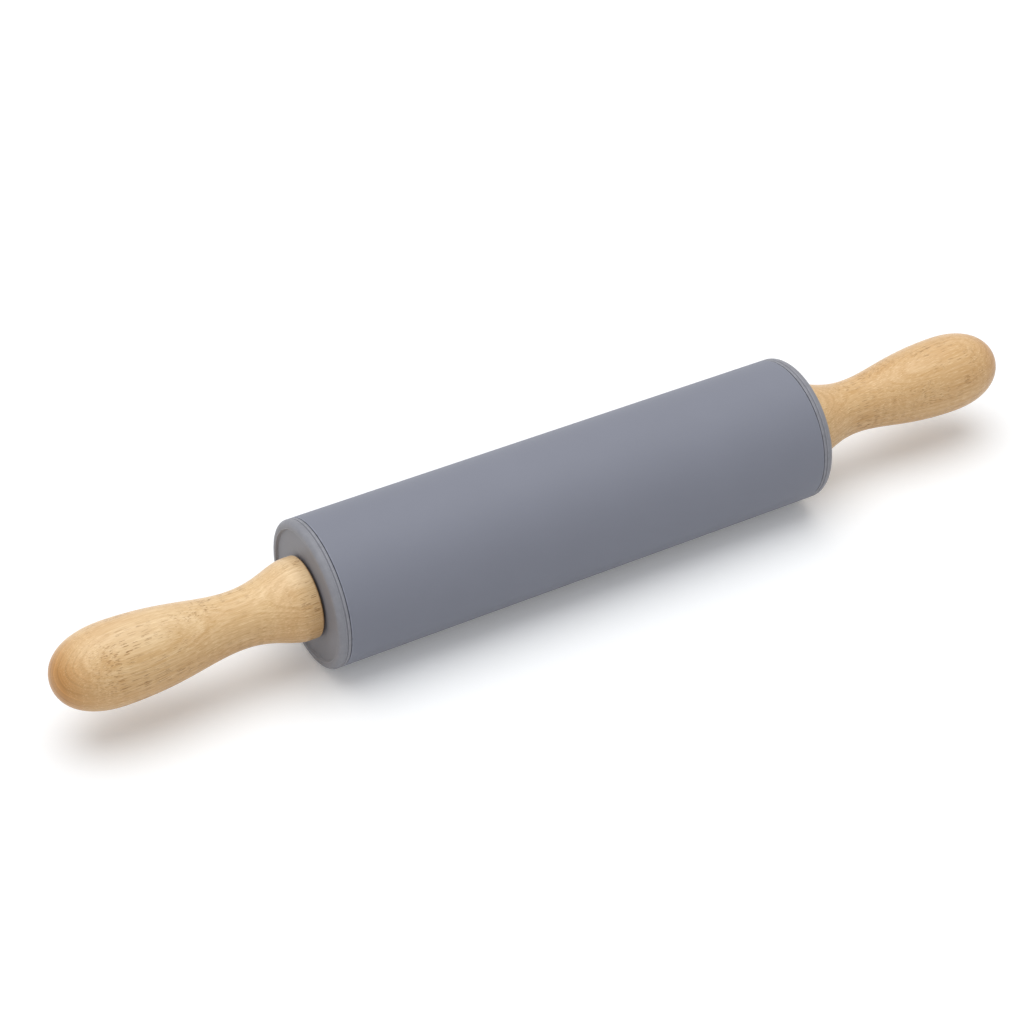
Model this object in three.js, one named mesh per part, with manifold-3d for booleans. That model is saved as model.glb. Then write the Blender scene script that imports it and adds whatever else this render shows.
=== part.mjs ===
// A silicone rolling pin. A plastic tube in a silicone sleeve, closed by two moulded caps, turns freely
// on a steel axle, and the axle's threaded ends are screwed into two turned wooden handles.
// Millimetres, +Z up, the axle along +X. The origin lies under the middle of the barrel, on the worktop.

import * as THREE from 'three';
import { mergeVertices } from 'three/addons/utils/BufferGeometryUtils.js';
import Module from 'manifold-3d';

// Barrel
const barrelLength = 224;
const barrelRadius = 30;
const sleeveWall = 3;
const tubeWall = 2.5;
const tubeLeadIn = 0.8;
const seamLip = 0.45;

// End caps
const capBand = 4.5;
const rimRadius = 2.2;
const rimWidth = 3.2;
const rimInnerEdge = 0.3;
const beadGrooveWidth = 0.8;
const beadGrooveDepth = 0.5;
const recessDepth = 1;
const capPlate = 2.4;
const plugLength = 16;
const plugWall = 2;
const plugLeadIn = 1.5;
const plugTaper = 0.5;
const hubWall = 2.5;
const ribCount = 8;
const ribThickness = 1.8;
const ribSetback = 1.5;

// Axle and bushes
const axleRadius = 4;
const axleChamfer = 0.6;
const spigotRadius = 3;
const spigotLength = 15;
const bushWall = 2.5;
const bushLength = 14;
const bushFlangeWidth = 3;
const bushFlange = 1.5;
const bushLeadIn = 0.5;

// Thrust washers
const washerWidth = 6.7;
const washerThickness = 0.4;

// Handles and their inserts
const handleLength = 103.2;
const collarRadius = 16.5;
const collarEdge = 1.2;
const collarLength = 4.5;
const neckRadius = 11.4;
const neckPosition = 29.5;
const bulbRadius = 16.4;
const bulbPosition = 78;
const insertLength = 17;
const insertWall = 1.9;
const insertFlangeWidth = 2;
const insertFlange = 1.4;
const insertBarbs = 3;
const insertBarb = 0.6;
const insertRelief = 0.3;
const drillTipHalfAngle = THREE.MathUtils.degToRad( 59 );
const drillAllowance = 3;

// How far each curve of the handle's side keeps its first or last direction, as a share of its span
const collarEase = 0.26;
const neckEase = 0.5;
const swellEase = 0.28;
const bulbEase = 0.5;
const domeEase = 0.66;
const tipEase = 0.56;

// Clearances
const slipGap = 0.1;
const runningGap = 0.05;
const restGap = 0.3;
const endFloat = 0.2;
const washerPlay = 0.3;

// Facets round the turned pieces, and steps along a handle's curves and a rounded corner
const largeFacets = 40;
const smallFacets = 24;
const curveSteps = 7;
const arcSteps = 3;

// Sizes that follow from those above
const barrelEnd = barrelLength / 2;
const recessFace = barrelEnd - recessDepth;
const capShoulder = barrelEnd - capBand;
const sleeveEnd = capShoulder - restGap;
const sleeveBore = barrelRadius - sleeveWall;
const tubeRadius = sleeveBore - slipGap;
const tubeBore = tubeRadius - tubeWall;
const plugRadius = tubeBore - slipGap;
const plugBore = plugRadius - plugWall;
const plugEnd = capShoulder - plugLength;
const recessRadius = barrelRadius - rimWidth;
const bushBore = axleRadius + runningGap;
const bushRadius = bushBore + bushWall;
const bushFlangeRadius = bushRadius + bushFlangeWidth;
const bushEnd = recessFace - bushLength;
const hubBore = bushRadius + slipGap;
const hubRadius = hubBore + hubWall;
const flangeSeat = recessFace - bushFlange;
const washerFace = recessFace + endFloat;
const handleFace = washerFace + washerThickness + endFloat;
const axleShoulder = handleFace - slipGap;
const insertBore = spigotRadius + slipGap;
const insertRadius = insertBore + insertWall;
const insertFlangeRadius = insertRadius + insertFlangeWidth;

const silicone = new THREE.MeshStandardMaterial( { color: 0x828692, roughness: 0.62, metalness: 0 } );
const capPlastic = new THREE.MeshStandardMaterial( { color: 0x878890, roughness: 0.5, metalness: 0 } );
const tubePlastic = new THREE.MeshStandardMaterial( { color: 0xc9c9c6, roughness: 0.55, metalness: 0 } );
const nylon = new THREE.MeshStandardMaterial( { color: 0xe6e1d3, roughness: 0.45, metalness: 0 } );
const steel = new THREE.MeshStandardMaterial( { color: 0xb4b7ba, roughness: 0.3, metalness: 1 } );
const brass = new THREE.MeshStandardMaterial( { color: 0xb5914f, roughness: 0.35, metalness: 1 } );
const wood = new THREE.MeshStandardMaterial( { color: 0xd8b17b, roughness: 0.5, metalness: 0 } );

const wasm = await Module();
wasm.setup();

// The outline through a list of corners, each [ radius, place along the axle, rounding ]. A corner with
// a rounding becomes an arc of that radius, tangent to the two sides that meet there.
function outline( corners, closed ) {

	const points = corners.map( ( [ radius, along ] ) => new THREE.Vector2( radius, along ) );
	const rounded = points.flatMap( ( corner, i ) => {

		const rounding = corners[ i ][ 2 ] ?? 0;
		if ( rounding === 0 ) return [ corner ];
		const before = points.at( i - 1 ).clone().sub( corner ).normalize();
		const after = points[ ( i + 1 ) % points.length ].clone().sub( corner ).normalize();
		const halfAngle = Math.acos( before.dot( after ) ) / 2;
		const middle = before.clone().add( after ).setLength( rounding / Math.sin( halfAngle ) ).add( corner );
		const start = before.multiplyScalar( rounding / Math.tan( halfAngle ) ).add( corner ).sub( middle );
		const end = after.multiplyScalar( rounding / Math.tan( halfAngle ) ).add( corner ).sub( middle );
		const clockwise = start.cross( end ) < 0;
		const arc = new THREE.ArcCurve( middle.x, middle.y, rounding, start.angle(), end.angle(), clockwise );
		return arc.getPoints( arcSteps );

	} );
	if ( closed ) rounded.push( rounded[ 0 ].clone() );
	return rounded;

}

// A piece turned about the axle from an outline of radii and places along it. The radii are measured
// across the flats of the facets, so the true circle touches each flat, and one flat faces straight down.
function turned( points, facets ) {

	const acrossCorners = 1 / Math.cos( Math.PI / facets );
	const profile = points.map( ( point ) => new THREE.Vector2( point.x * acrossCorners, point.y ) );
	return new THREE.LatheGeometry( profile, facets, Math.PI / facets ).rotateZ( - Math.PI / 2 );

}

// A closed geometry as a solid that can be joined to another.
function solidOf( geometry ) {

	const bare = geometry.clone().deleteAttribute( 'normal' ).deleteAttribute( 'uv' );
	const merged = mergeVertices( bare );
	return new wasm.Manifold( new wasm.Mesh( {
		numProp: 3,
		vertProperties: merged.attributes.position.array,
		triVerts: new Uint32Array( merged.index.array )
	} ) );

}

function geometryOf( solid ) {

	const { vertProperties, triVerts } = solid.getMesh();
	const geometry = new THREE.BufferGeometry();
	geometry.setAttribute( 'position', new THREE.BufferAttribute( vertProperties, 3 ) );
	geometry.setIndex( new THREE.BufferAttribute( triVerts, 1 ) );
	geometry.computeVertexNormals();
	return geometry;

}

function named( name, geometry, material ) {

	const mesh = new THREE.Mesh( geometry, material );
	mesh.name = name;
	return mesh;

}

// Sleeve with a softly rounded lip at each seam.
function sleeve() {

	return turned( outline( [
		[ sleeveBore, - sleeveEnd ],
		[ barrelRadius, - sleeveEnd, seamLip ],
		[ barrelRadius, sleeveEnd, seamLip ],
		[ sleeveBore, sleeveEnd ]
	], true ), largeFacets );

}

// Tube, countersunk at both mouths for the caps' plugs.
function coreTube() {

	return turned( outline( [
		[ tubeBore + tubeLeadIn, - sleeveEnd ],
		[ tubeRadius, - sleeveEnd ],
		[ tubeRadius, sleeveEnd ],
		[ tubeBore + tubeLeadIn, sleeveEnd ],
		[ tubeBore, sleeveEnd - tubeLeadIn ],
		[ tubeBore, tubeLeadIn - sleeveEnd ]
	], true ), largeFacets );

}

// Cap: a rounded rim round a shallow recess, a band that meets the sleeve at the seam, a plug with a
// lead-in for the tube, and a hub for the bush, stiffened by ribs from the hub to the plug's wall.
function endCap() {

	const plateBack = recessFace - capPlate;
	const groove = barrelEnd - ( rimRadius + capBand - seamLip ) / 2;
	const shell = turned( outline( [
		[ bushFlangeRadius + slipGap, recessFace ],
		[ bushFlangeRadius + slipGap, flangeSeat - slipGap ],
		[ hubBore, flangeSeat - slipGap ],
		[ hubBore, bushEnd ],
		[ hubRadius, bushEnd ],
		[ hubRadius, plateBack ],
		[ plugBore, plateBack ],
		[ plugBore, plugEnd ],
		[ plugRadius - plugTaper, plugEnd ],
		[ plugRadius, plugEnd + plugLeadIn ],
		[ plugRadius, capShoulder ],
		[ barrelRadius, capShoulder, seamLip ],
		[ barrelRadius, groove - beadGrooveWidth / 2 ],
		[ barrelRadius - beadGrooveDepth, groove ],
		[ barrelRadius, groove + beadGrooveWidth / 2 ],
		[ barrelRadius, barrelEnd, rimRadius ],
		[ recessRadius, barrelEnd, rimInnerEdge ],
		[ recessRadius, recessFace ]
	], true ), largeFacets );

	const ribReach = plugBore - hubRadius + plugWall;
	const ribRoot = ( flangeSeat - slipGap - plateBack ) / 2;
	const ribEnd = Math.max( bushEnd, plugEnd ) + ribSetback;
	const ribHeight = plateBack + ribRoot - ribEnd;
	let cap = solidOf( shell );
	for ( let i = 0; i < ribCount; i ++ ) {

		const rib = new THREE.BoxGeometry( ribHeight, ribThickness, ribReach );
		rib.translate( ribEnd + ribHeight / 2, 0, ( plugBore + hubRadius ) / 2 );
		rib.rotateX( 2 * Math.PI * i / ribCount );
		cap = cap.add( solidOf( rib ) );

	}

	return geometryOf( cap );

}

// Flanged bush, its flange flush in the cap's recess.
function bush() {

	return turned( outline( [
		[ bushBore, bushEnd + bushLeadIn ],
		[ bushBore + bushLeadIn, bushEnd ],
		[ bushRadius, bushEnd ],
		[ bushRadius, flangeSeat ],
		[ bushFlangeRadius, flangeSeat ],
		[ bushFlangeRadius, recessFace ],
		[ bushBore, recessFace ]
	], true ), largeFacets );

}

// Axle with a spigot beyond a shoulder at each end.
function axle() {

	const axleEnd = axleShoulder + spigotLength;
	const shoulderChamfer = Math.min( axleChamfer, ( axleRadius - spigotRadius ) / 2 );
	const rightHalf = [
		[ axleRadius, axleShoulder - shoulderChamfer ],
		[ axleRadius - shoulderChamfer, axleShoulder ],
		[ spigotRadius, axleShoulder ],
		[ spigotRadius, axleEnd - axleChamfer ],
		[ spigotRadius - axleChamfer, axleEnd ],
		[ 0, axleEnd ]
	];
	const leftHalf = rightHalf.map( ( [ radius, along ] ) => [ radius, - along ] ).reverse();
	return turned( outline( [ ...leftHalf, ...rightHalf ], false ), smallFacets );

}

function thrustWasher() {

	const washerBore = axleRadius + washerPlay;
	const washerRadius = washerBore + washerWidth;
	return turned( outline( [
		[ washerBore, washerFace ],
		[ washerRadius, washerFace ],
		[ washerRadius, washerFace + washerThickness ],
		[ washerBore, washerFace + washerThickness ]
	], true ), smallFacets );

}

// Threaded insert, its flange flush with the handle's face, with barbs that grip the wood.
function threadedInsert() {

	const flangeBack = handleFace + insertFlange;
	const insertEnd = handleFace + insertLength;
	const barbPitch = ( insertEnd - flangeBack ) / insertBarbs;
	const barbs = Array.from( { length: insertBarbs }, ( _, i ) => [
		[ insertRadius + insertBarb, flangeBack + barbPitch * i + insertRelief ],
		[ insertRadius, flangeBack + barbPitch * ( i + 1 ) ]
	] );
	return turned( outline( [
		[ insertBore, handleFace ],
		[ insertFlangeRadius, handleFace ],
		[ insertFlangeRadius, flangeBack ],
		[ insertRadius, flangeBack ],
		...barbs.flat(),
		[ insertBore, insertEnd ]
	], true ), smallFacets );

}

// Handle: a collar with a rounded edge sweeps in to the neck, swells to the bulb and closes in a dome.
// A hole drilled from the collar's face takes the insert.
function handle() {

	const bore = insertRadius + insertBarb + slipGap;
	const boreEnd = insertLength + drillAllowance;
	const flangeBore = insertFlangeRadius + slipGap;
	const flangeFloor = insertFlange + slipGap;
	const socket = outline( [
		[ 0, boreEnd + bore / Math.tan( drillTipHalfAngle ) ],
		[ bore, boreEnd ],
		[ bore, flangeFloor ],
		[ flangeBore, flangeFloor ],
		[ flangeBore, 0 ],
		[ collarRadius, 0, collarEdge ],
		[ collarRadius, collarLength ]
	], false );

	const sweep = neckPosition - collarLength;
	const swell = bulbPosition - neckPosition;
	const dome = handleLength - bulbPosition;
	const toNeck = new THREE.CubicBezierCurve(
		new THREE.Vector2( collarRadius, collarLength ),
		new THREE.Vector2( collarRadius, collarLength + collarEase * sweep ),
		new THREE.Vector2( neckRadius, neckPosition - neckEase * sweep ),
		new THREE.Vector2( neckRadius, neckPosition )
	);
	const toBulb = new THREE.CubicBezierCurve(
		new THREE.Vector2( neckRadius, neckPosition ),
		new THREE.Vector2( neckRadius, neckPosition + swellEase * swell ),
		new THREE.Vector2( bulbRadius, bulbPosition - bulbEase * swell ),
		new THREE.Vector2( bulbRadius, bulbPosition )
	);
	const toTip = new THREE.CubicBezierCurve(
		new THREE.Vector2( bulbRadius, bulbPosition ),
		new THREE.Vector2( bulbRadius, bulbPosition + domeEase * dome ),
		new THREE.Vector2( tipEase * bulbRadius, handleLength ),
		new THREE.Vector2( 0, handleLength )
	);
	const side = [ toNeck, toBulb, toTip ].flatMap( ( curve ) => curve.getPoints( curveSteps ).slice( 1 ) );
	return turned( [ ...socket, ...side ], largeFacets ).translate( handleFace, 0, 0 );

}

const pin = new THREE.Group();
pin.position.z = barrelRadius;
pin.add(
	named( 'silicone_sleeve', sleeve(), silicone ),
	named( 'core_tube', coreTube(), tubePlastic ),
	named( 'axle_rod', axle(), steel )
);

// The two ends are alike, so the left one is the right one turned half round.
for ( const [ side, turn ] of [ [ 'right', 0 ], [ 'left', Math.PI ] ] ) {

	const end = new THREE.Group();
	end.rotation.z = turn;
	end.add(
		named( `end_cap_${ side }`, endCap(), capPlastic ),
		named( `bushing_${ side }`, bush(), nylon ),
		named( `thrust_washer_${ side }`, thrustWasher(), nylon ),
		named( `threaded_insert_${ side }`, threadedInsert(), brass ),
		named( `handle_${ side }`, handle(), wood )
	);
	pin.add( end );

}

export default new THREE.Group().add( pin );
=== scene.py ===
"""A silicone rolling pin: fine surfaces and finishes for its pieces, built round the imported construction.

Metres, +Z up, the axle along +X. Each piece stands where its node stands, and takes from the frame the
places and radii that its neighbours fit to. The sizes that a user would change are in the property groups.
"""

import math

import bpy
import numpy as np
from bpy.props import FloatProperty, FloatVectorProperty, IntProperty, PointerProperty
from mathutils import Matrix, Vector


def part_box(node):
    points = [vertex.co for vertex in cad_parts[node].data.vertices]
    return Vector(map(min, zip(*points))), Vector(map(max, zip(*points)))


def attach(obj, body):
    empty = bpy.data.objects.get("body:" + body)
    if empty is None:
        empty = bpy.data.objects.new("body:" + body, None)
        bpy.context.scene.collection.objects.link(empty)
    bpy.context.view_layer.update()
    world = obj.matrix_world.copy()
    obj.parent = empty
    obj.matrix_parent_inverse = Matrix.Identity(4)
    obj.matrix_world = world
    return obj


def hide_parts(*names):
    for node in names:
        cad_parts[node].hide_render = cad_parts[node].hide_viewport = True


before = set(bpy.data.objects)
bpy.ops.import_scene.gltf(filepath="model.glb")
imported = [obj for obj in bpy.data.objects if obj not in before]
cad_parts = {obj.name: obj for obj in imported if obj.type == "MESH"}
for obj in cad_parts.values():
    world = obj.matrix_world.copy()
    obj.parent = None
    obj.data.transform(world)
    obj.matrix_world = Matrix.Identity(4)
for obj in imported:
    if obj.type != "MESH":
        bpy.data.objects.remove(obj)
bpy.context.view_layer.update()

bl_info = {
    "name": "Rolling Pin",
    "version": (1, 0, 0),
    "blender": (4, 5, 0),
    "location": "View3D > Sidebar > Rolling Pin",
    "description": "Builds a silicone rolling pin with turned wooden handles",
    "category": "Add Mesh",
}

SIDES = {"right": 1.0, "left": -1.0}

# Steps of a rounded corner, how close to it a straight side has a point, and a length that counts as none
ARC_STEPS = 6
SUPPORT = 0.00012
HAIR = 1e-7

# Rounding below which an edge counts as fully sharp, and the angle from which two faces are shaded apart
SHARP_ROUNDING = 0.0005
SHARP_ANGLE = math.radians(50)

# Points along one pitch of a thread, the flat share of its crests and roots, and the columns over a cap's rib
THREAD_POINTS = 12
THREAD_FLAT = 0.2
RIB_COLUMNS = 5

# Where nodes lie in a tree, and the sensor that the lens is given for, in millimetres
NODE_STEP = (220, -260)
NODES_IN_ROW = 8
SENSOR_WIDTH = 36.0


def extent(node):
    """Where a node starts and ends along the axle, and its outer radius, at rest."""
    low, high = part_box(node)
    return low.x, high.x, (high.z - low.z) / 2


AXIS_HEIGHT = sum(corner.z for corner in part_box("silicone_sleeve")) / 2
_, SLEEVE_END, BARREL_RADIUS = extent("silicone_sleeve")
_, _, TUBE_RADIUS = extent("core_tube")
PLUG_END, BARREL_END, _ = extent("end_cap_right")
BUSH_END, RECESS_FACE, BUSH_FLANGE_RADIUS = extent("bushing_right")
_, AXLE_END, AXLE_RADIUS = extent("axle_rod")
WASHER_START, WASHER_END, WASHER_RADIUS = extent("thrust_washer_right")
HANDLE_FACE, HANDLE_TIP, COLLAR_RADIUS = extent("handle_right")
_, INSERT_END, INSERT_FLANGE_RADIUS = extent("threaded_insert_right")


# Settings

def setting(kind, **limits):
    """A maker of settings of one kind, which takes their name, description and default."""
    return lambda name, description, default: kind(
        name=name, description=description, default=default, **limits)


length = setting(FloatProperty, min=0.0, precision=5, unit="LENGTH")
colour = setting(FloatVectorProperty, min=0.0, max=1.0, size=3, subtype="COLOR")
share = setting(FloatProperty, min=0.0, max=1.0, subtype="FACTOR")
strength = setting(FloatProperty, min=0.0)
angle = setting(FloatProperty, subtype="ANGLE")
point = setting(FloatVectorProperty, subtype="XYZ", unit="LENGTH")
focal_length = setting(FloatProperty, min=1.0, unit="CAMERA")


def degrees(name, description, default):
    """An angle given in degrees and kept in radians."""
    return angle(name, description, math.radians(default))


def count(name, description, default, least):
    """A whole number, and the least that it may be."""
    return IntProperty(name=name, description=description, default=default, min=least)


class BarrelSizes(bpy.types.PropertyGroup):
    """Sizes of the sleeve, the core tube and the two caps."""
    segments: count("Segments", "Steps round a large piece", 264, 16)
    sleeve_wall: length("Sleeve wall", "Thickness of the silicone", 0.003)
    seam_lip: length("Seam lip", "Rounding of the edges that meet at a seam", 0.0003)
    tube_wall: length("Tube wall", "Thickness of the core tube", 0.0025)
    tube_lead_in: length("Tube lead-in", "Countersink at the mouths of the core tube", 0.0008)
    cap_band: length("Cap band", "Width of a cap's outer band, from its rim to the seam", 0.0045)
    rim_radius: length("Rim radius", "Rounding of a cap's outer rim", 0.0022)
    rim_width: length("Rim width", "From the barrel's outside to the recess", 0.0032)
    rim_inner_edge: length("Rim inner edge", "Rounding where the rim drops into the recess", 0.0003)
    recess_draft: length("Recess draft", "How far the recess' wall leans in towards its floor", 0.0008)
    groove_width: length("Groove width", "Width of the groove beside a cap's bead", 0.0008)
    groove_depth: length("Groove depth", "Depth of that groove", 0.0005)
    bead_radius: length("Bead radius", "Rounding of the edges of the groove", 0.0004)
    cap_plate: length("Cap plate", "Thickness of a cap's end plate", 0.0024)
    plug_gap: length("Plug gap", "Clearance of a plug in the tube, and of a bush in its hub", 0.0001)
    plug_wall: length("Plug wall", "Thickness of a cap's plug", 0.002)
    plug_lead_in: length("Plug lead-in", "Length of the taper at a plug's mouth", 0.0015)
    plug_taper: length("Plug taper", "How far the lead-in draws in", 0.0005)
    hub_wall: length("Hub wall", "Thickness of the hub round a bush", 0.0025)
    rib_count: count("Ribs", "Ribs between a cap's hub and its plug", 8, 2)
    rib_thickness: length("Rib thickness", "Mean thickness of a rib", 0.0018)
    rib_draft: length("Rib draft", "How much thinner a rib's side is at its top", 0.0001)
    rib_setback: length("Rib setback", "How far a rib stays below the hub's end", 0.0015)
    edge_break: length("Edge break", "Rounding of the plain edges", 0.0002)


class AxleSizes(bpy.types.PropertyGroup):
    """Sizes of the axle, its bushes, washers and threaded inserts."""
    segments: count("Segments", "Steps round a small piece", 96, 16)
    chamfer: length("Axle chamfer", "Chamfer at the axle's ends", 0.0006)
    shoulder_chamfer: length("Shoulder chamfer", "Chamfer at the axle's shoulders", 0.0005)
    shoulder_gap: length("Shoulder gap", "From the axle's shoulder to a handle's face", 0.0001)
    spigot_radius: length("Spigot radius", "Outer radius of the threaded ends", 0.003)
    thread_pitch: length("Thread pitch", "Advance of the thread in one turn", 0.001)
    thread_depth: length("Thread depth", "From a thread's crest to its root", 0.0005)
    thread_gap: length("Thread gap", "Clearance between the two threads", 0.0001)
    bush_gap: length("Bush gap", "Running clearance of the axle in a bush", 0.00005)
    bush_wall: length("Bush wall", "Thickness of a bush", 0.0025)
    bush_flange: length("Bush flange", "Thickness of a bush's flange", 0.0015)
    bush_lead_in: length("Bush lead-in", "Countersink at a bush's inner end", 0.0005)
    washer_play: length("Washer play", "Clearance of the axle in a washer", 0.0003)
    insert_wall: length("Insert wall", "Thickness of an insert between its barbs", 0.0019)
    insert_flange: length("Insert flange", "Thickness of an insert's flange", 0.0014)
    barb_count: count("Barbs", "Barbs along an insert", 3, 1)
    barb_height: length("Barb height", "How far a barb stands out", 0.0006)
    barb_relief: length("Barb relief", "Length of a barb's steep side", 0.0003)
    edge_break: length("Edge break", "Rounding of the plain edges", 0.0001)


class HandleSizes(bpy.types.PropertyGroup):
    """Sizes of a turned handle, measured from its face on the barrel's side."""
    segments: count("Segments", "Steps round a handle", 224, 16)
    curve_steps: count("Curve steps", "Steps along each curve of the side", 48, 4)
    collar_edge: length("Collar edge", "Rounding of the collar's edge", 0.0012)
    collar_length: length("Collar length", "Straight part of the collar", 0.0045)
    neck_radius: length("Neck radius", "Radius at the thinnest place", 0.0114)
    neck_position: length("Neck position", "Where the handle is thinnest", 0.0295)
    bulb_radius: length("Bulb radius", "Radius at the thickest place", 0.0164)
    bulb_position: length("Bulb position", "Where the handle is thickest", 0.078)
    collar_ease: share("Collar ease", "How far the sweep keeps the collar's direction", 0.26)
    neck_ease: share("Neck ease", "How far the sweep keeps the neck's direction", 0.5)
    swell_ease: share("Swell ease", "How far the swell keeps the neck's direction", 0.28)
    bulb_ease: share("Bulb ease", "How far the swell keeps the bulb's direction", 0.5)
    dome_ease: share("Dome ease", "How far the dome keeps the bulb's direction", 0.66)
    tip_ease: share("Tip ease", "How flat the tip is, as a share of the bulb's radius", 0.56)
    socket_gap: length("Socket gap", "Clearance round the insert", 0.0001)
    drill_allowance: length("Drill allowance", "How far the hole goes past the insert", 0.003)
    drill_half_angle: degrees("Drill half-angle", "Half the angle of the hole's pointed end", 59)


class FinishColours(bpy.types.PropertyGroup):
    """Colours of the finishes."""
    silicone: colour("Silicone", "Blue-grey of the sleeve", (0.225, 0.237, 0.288))
    cap: colour("Cap plastic", "Grey of the moulded caps", (0.243, 0.247, 0.277))
    tube: colour("Tube plastic", "Off-white of the core tube", (0.58, 0.58, 0.56))
    nylon: colour("Nylon", "Natural nylon", (0.79, 0.75, 0.65))
    steel: colour("Steel", "Drawn steel", (0.46, 0.47, 0.49))
    brass: colour("Brass", "Turned brass", (0.46, 0.28, 0.08))
    wood_light: colour("Wood, light", "Early wood between the rings", (0.915, 0.675, 0.395))
    wood_dark: colour("Wood, dark", "Late wood in the rings", (0.645, 0.402, 0.172))
    # A pale tone, painted as a highlight on the left handle's upper side.
    wood_sap: colour("Wood, sapwood", "Pale wood under the bark", (0.95, 0.75, 0.5))
    wood_end: colour("Wood, end grain", "Where the turning cuts across the fibres", (0.57, 0.28, 0.085))
    wood_pore: colour("Wood, pores", "Open pores along the grain", (0.36, 0.155, 0.036))
    blank_shift: share("Wood, right handle", "How much deeper the right handle's blank is, at its tip", 0.33)
    # How deep the painted shade on the left handle's lower side is, and how pale the painted highlight on its
    # upper side is.
    painted_shade_shift: share("Wood, heart side", "How much deeper the left blank's lower side is", 0.3)
    painted_highlight_shift: share("Wood, sap side", "How much paler the left blank's upper side is", 0.3)


class StageSettings(bpy.types.PropertyGroup):
    """Camera, light and floor."""
    azimuth: degrees("Camera azimuth", "0 looks along +Y", -29.63)
    elevation: degrees("Camera elevation", "Above the horizon", 37.5)
    distance: length("Camera distance", "From the point looked at", 0.9825)
    target: point("Camera target", "Point looked at", (-0.0217, 0.0, 0.03603))
    lens: focal_length("Lens", "Focal length for a 36 mm sensor", 87.9)
    key_azimuth: degrees("Key azimuth", "Side that the main light comes from, as for the camera", 175)
    key_elevation: degrees("Key elevation", "Height of the main light above the horizon", 82)
    key_spread: degrees("Key spread", "Angle that the main light fills", 62)
    key_strength: strength("Key strength", "Light on a face turned to it", 1.72)
    fill_azimuth: degrees("Fill azimuth", "Side that the second light comes from", -70)
    fill_elevation: degrees("Fill elevation", "Height of the second light above the horizon", 15)
    fill_spread: degrees("Fill spread", "Angle that the second light fills", 100)
    fill_strength: strength("Fill strength", "Light on a face turned to it", 0.52)
    sky_strength: strength("Sky strength", "Even light from all round", 0.45)
    floor_white: colour("Floor, seen", "Whiteness of the floor as the camera sees it", (0.935, 0.95, 0.965))
    floor_lift: share("Floor, lift", "Light added to the floor as the camera sees it", 0.13)
    floor_bounce: share("Floor, bounce", "How much light the floor sends back up", 0.75)
    floor_width: length("Floor width", "Side of the square floor", 12.0)


class RollingPinSettings(bpy.types.PropertyGroup):
    """All that the rolling pin is built from."""
    barrel: PointerProperty(type=BarrelSizes, name="Barrel", description="Sleeve, tube and caps")
    axle: PointerProperty(type=AxleSizes, name="Axle", description="Axle, bushes, washers and inserts")
    handle: PointerProperty(type=HandleSizes, name="Handles", description="Turned handles")
    colours: PointerProperty(type=FinishColours, name="Colours", description="Colours of the finishes")
    stage: PointerProperty(type=StageSettings, name="Stage", description="Camera, light and floor")


# Profiles

def unit(vectors):
    """Vectors brought to a length of 1; one without length stays as it is."""
    return vectors / np.maximum(np.linalg.norm(vectors, axis=-1, keepdims=True), HAIR)


def outline(corners, closed=True):
    """Profile through corners (radius, along, rounding), as rows of radius and place along the axle.

    A corner becomes an arc tangent to its two sides: the arc touches them at rounding / tan(half angle) from
    the corner, its centre is on the bisector at rounding / sin(half angle), and its points turn evenly from
    one touch to the other. Each straight run gets a point close to either end, so its shading stays flat.
    """
    corners = np.array(corners, float)
    points, rounding = corners[:, :2], corners[:, 2:]
    before = unit(np.roll(points, 1, axis=0) - points)
    after = unit(np.roll(points, -1, axis=0) - points)
    half = np.arccos(np.clip((before * after).sum(axis=1, keepdims=True), -1, 1)) / 2
    reach = rounding / np.maximum(np.tan(half), HAIR)
    start, end = points + before * reach, points + after * reach
    centre = points + unit(before + after) * rounding / np.maximum(np.sin(half), HAIR)
    sweep = np.maximum(np.pi - 2 * half, HAIR)[:, None, :]
    step = np.linspace(0, 1, ARC_STEPS + 1)[None, :, None]
    from_start = np.sin((1 - step) * sweep) * (start - centre)[:, None, :]
    from_end = np.sin(step * sweep) * (end - centre)[:, None, :]
    arcs = centre[:, None, :] + (from_start + from_end) / np.sin(sweep)
    run = np.roll(start, -1, axis=0) - end
    run_length = np.linalg.norm(run, axis=1, keepdims=True)
    inset = np.minimum(SUPPORT, run_length / 3) * unit(run)
    supports = np.stack([end + inset, end + run - inset], axis=1)
    rows = np.concatenate([arcs, supports], axis=1).reshape(-1, 2)
    if not closed:
        rows = rows[:-2]
    step_length = np.linalg.norm(rows - np.roll(rows, 1, axis=0), axis=1)
    keep = step_length > HAIR
    if not closed:
        keep[0] = True
    return rows[keep]


def bezier(start, lead, trail, end, steps):
    """Cubic curve (1-t)^3 start + 3 (1-t)^2 t lead + 3 (1-t) t^2 trail + t^3 end, without its first point."""
    t = np.linspace(0, 1, steps + 1)[1:, None]
    start, lead, trail, end = (np.array(p, float) for p in (start, lead, trail, end))
    return (1 - t) ** 3 * start + 3 * (1 - t) ** 2 * t * lead + 3 * (1 - t) * t ** 2 * trail + t ** 3 * end


def eased(start, end, leave, arrive, steps):
    """Cubic curve between two places (radius, along) that leaves and reaches them along the axle.

    Leave and arrive are the shares of the way over which its control points keep to that direction.
    """
    way = end[1] - start[1]
    return bezier(start, (start[0], start[1] + leave * way), (end[0], end[1] - arrive * way), end, steps)


def threaded_run(radius, start, end, sizes):
    """Straight rows from start to end, without the first, close enough together for a thread."""
    points = round(abs(end - start) / sizes.thread_pitch * THREAD_POINTS)
    return np.column_stack([np.full(points, radius), np.linspace(start, end, points + 1)[1:]])


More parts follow.
